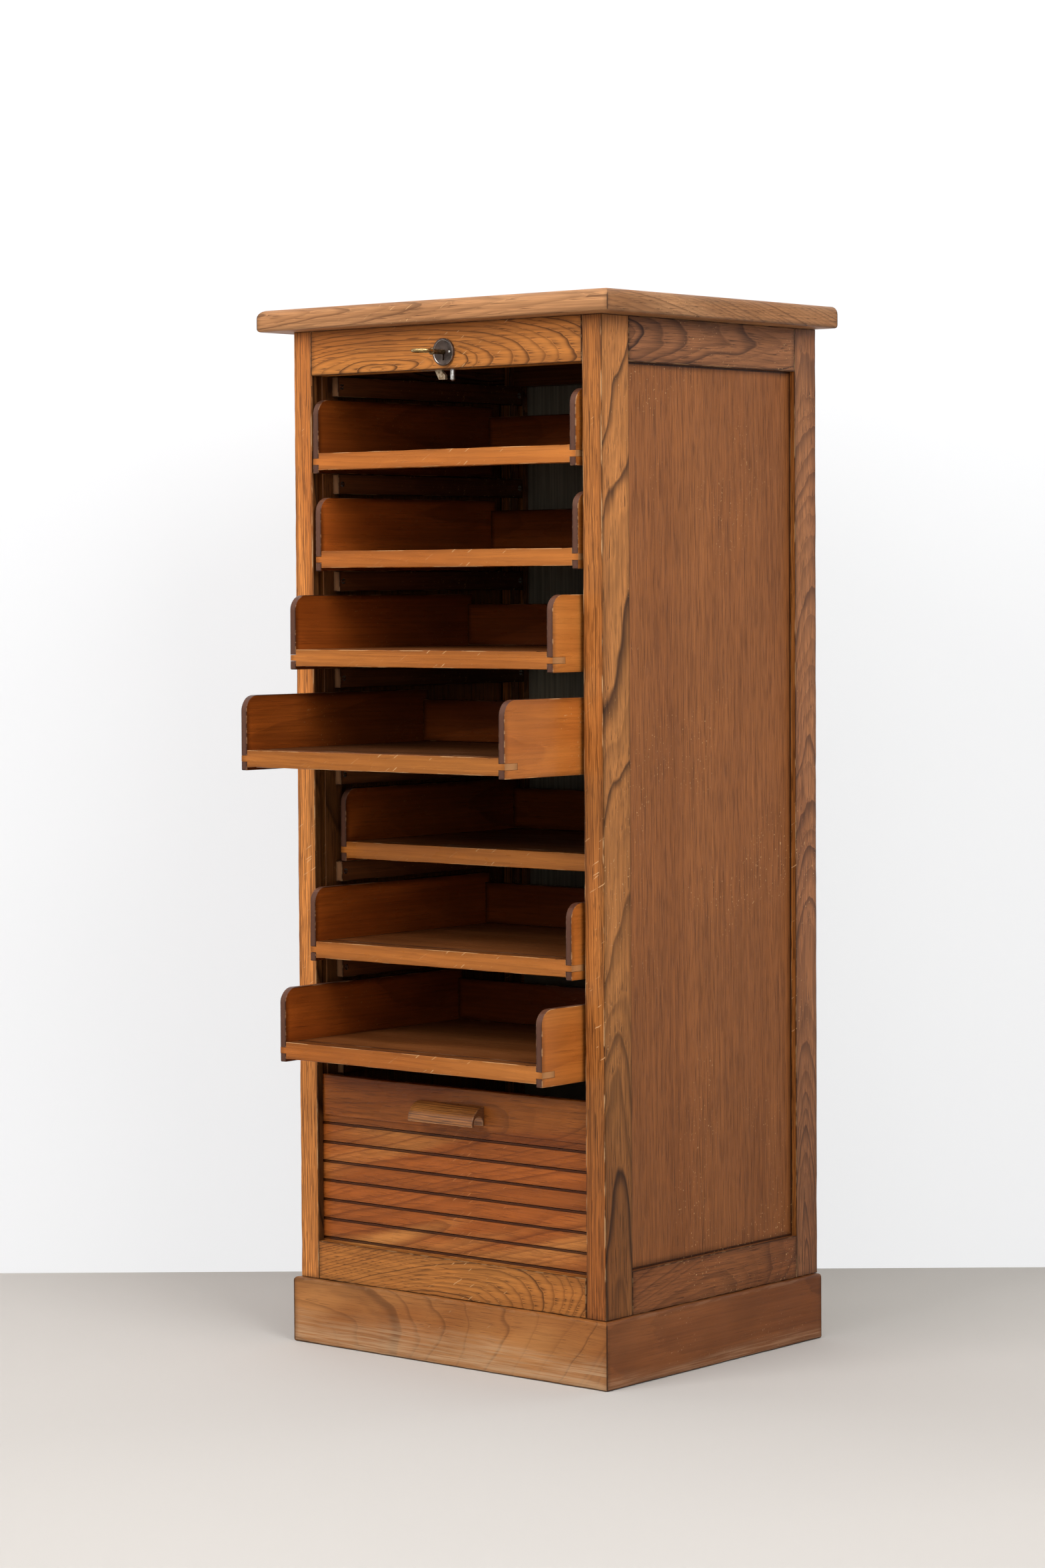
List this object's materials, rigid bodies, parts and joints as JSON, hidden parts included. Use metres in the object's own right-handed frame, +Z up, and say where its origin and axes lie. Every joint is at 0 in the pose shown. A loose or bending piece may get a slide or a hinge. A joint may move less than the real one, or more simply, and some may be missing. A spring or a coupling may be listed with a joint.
{
  "type": "tambour cabinet",
  "caption": "Upright wooden filing cabinet with a slatted shutter that slides down, a lock with a key, and open-fronted trays on runners.",
  "frame": {"origin": "middle of the cabinet in the front plane of its posts, on the floor", "axes": "+Z up, +Y to the back, +X to the right as seen from the front"},
  "size_m": [0.5, 0.497, 1.15],
  "materials": {
    "carcass_wood": "satin varnished figured chestnut",
    "panel_veneer": "satin varnished straight-grained veneer",
    "shutter_wood": "satin varnished red-brown wood",
    "tray_wood": "worn satin varnish, stained beech",
    "runner_wood": "oiled hardwood",
    "plinth_wood": "worn varnished chestnut, bleached low down",
    "plain_wood": "unfinished softwood",
    "back_plywood": "grey-green painted plywood",
    "canvas": "glued linen canvas",
    "steel": "plain steel",
    "dark_metal": "dark bronzed plate",
    "brass": "worn brass"
  },
  "bodies": {
    "carcass": {"back_panel": "back_plywood", "base_board": "plain_wood", "bottom_rail": "carcass_wood", "escutcheon": "dark_metal", "front_post_left": "carcass_wood", "front_post_right": "carcass_wood", "locating_pin": "steel", "lock_case": "steel", "lock_rail": "carcass_wood", "plinth_back": "plain_wood", "plinth_front": "plinth_wood", "plinth_left": "plinth_wood", "plinth_right": "plinth_wood", "rear_stile_left": "carcass_wood", "rear_stile_right": "carcass_wood", "rear_top_rail": "plain_wood", "runners_left": "runner_wood", "runners_right": "runner_wood", "side_bottom_rail_left": "carcass_wood", "side_bottom_rail_right": "carcass_wood", "side_panel_left": "panel_veneer", "side_panel_right": "panel_veneer", "side_top_rail_left": "carcass_wood", "side_top_rail_right": "carcass_wood", "stored_canvas": "canvas", "stored_slats": "shutter_wood", "top_edging_front": "carcass_wood", "top_edging_left": "carcass_wood", "top_edging_right": "carcass_wood", "top_panel": "panel_veneer", "track_board_left": "plain_wood", "track_board_right": "plain_wood"},
    "shutter": {"shutter_lead_rail": "shutter_wood", "shutter_pull": "shutter_wood", "pull_screws": "steel", "shutter_slats": "shutter_wood", "shutter_canvas": "canvas"},
    "key": {"key": "brass"},
    "hook": {"hook_bolt": "brass"},
    "tray_1": {"tray_1_sides": "tray_wood", "tray_1_front_rail": "tray_wood", "tray_1_floor_and_back": "tray_wood"},
    "tray_2": {"tray_2_sides": "tray_wood", "tray_2_front_rail": "tray_wood", "tray_2_floor_and_back": "tray_wood"},
    "tray_3": {"tray_3_sides": "tray_wood", "tray_3_front_rail": "tray_wood", "tray_3_floor_and_back": "tray_wood"},
    "tray_4": {"tray_4_sides": "tray_wood", "tray_4_front_rail": "tray_wood", "tray_4_floor_and_back": "tray_wood"},
    "tray_5": {"tray_5_sides": "tray_wood", "tray_5_front_rail": "tray_wood", "tray_5_floor_and_back": "tray_wood"},
    "tray_6": {"tray_6_sides": "tray_wood", "tray_6_front_rail": "tray_wood", "tray_6_floor_and_back": "tray_wood"},
    "tray_7": {"tray_7_sides": "tray_wood", "tray_7_front_rail": "tray_wood", "tray_7_floor_and_back": "tray_wood"}
  },
  "joints": [
    {"name": "tray_1_slide", "type": "slide", "parent": "carcass", "child": "tray_1", "axis": [0, -1, 0], "range_m": [-0.044, 0.196]},
    {"name": "tray_2_slide", "type": "slide", "parent": "carcass", "child": "tray_2", "axis": [0, -1, 0], "range_m": [-0.041, 0.199]},
    {"name": "tray_3_slide", "type": "slide", "parent": "carcass", "child": "tray_3", "axis": [0, -1, 0], "range_m": [-0.083, 0.157]},
    {"name": "tray_4_slide", "type": "slide", "parent": "carcass", "child": "tray_4", "axis": [0, -1, 0], "range_m": [-0.161, 0.079]},
    {"name": "tray_5_slide", "type": "slide", "parent": "carcass", "child": "tray_5", "axis": [0, -1, 0], "range_m": [-0.004, 0.236]},
    {"name": "tray_6_slide", "type": "slide", "parent": "carcass", "child": "tray_6", "axis": [0, -1, 0], "range_m": [-0.055, 0.185]},
    {"name": "tray_7_slide", "type": "slide", "parent": "carcass", "child": "tray_7", "axis": [0, -1, 0], "range_m": [-0.104, 0.136]},
    {"name": "shutter_slide", "type": "slide", "parent": "carcass", "child": "shutter", "axis": [0, 0, -1], "range_m": [-0.02, 0.14], "deforming": ["shutter_slats", "shutter_canvas"]},
    {"name": "key_turn", "type": "hinge", "parent": "carcass", "child": "key", "pos_m": [0.003, 0, 1.095], "axis": [0, -1, 0], "range_deg": [0, 90]},
    {"name": "hook_swing", "type": "hinge", "parent": "carcass", "child": "hook", "pos_m": [-0.017, 0.0135, 1.09], "axis": [0, -1, 0], "range_deg": [-72, 0]}
  ],
  "couplings": [
    {"joint": "hook_swing", "follows": "key_turn", "ratio": -0.8}
  ]
}
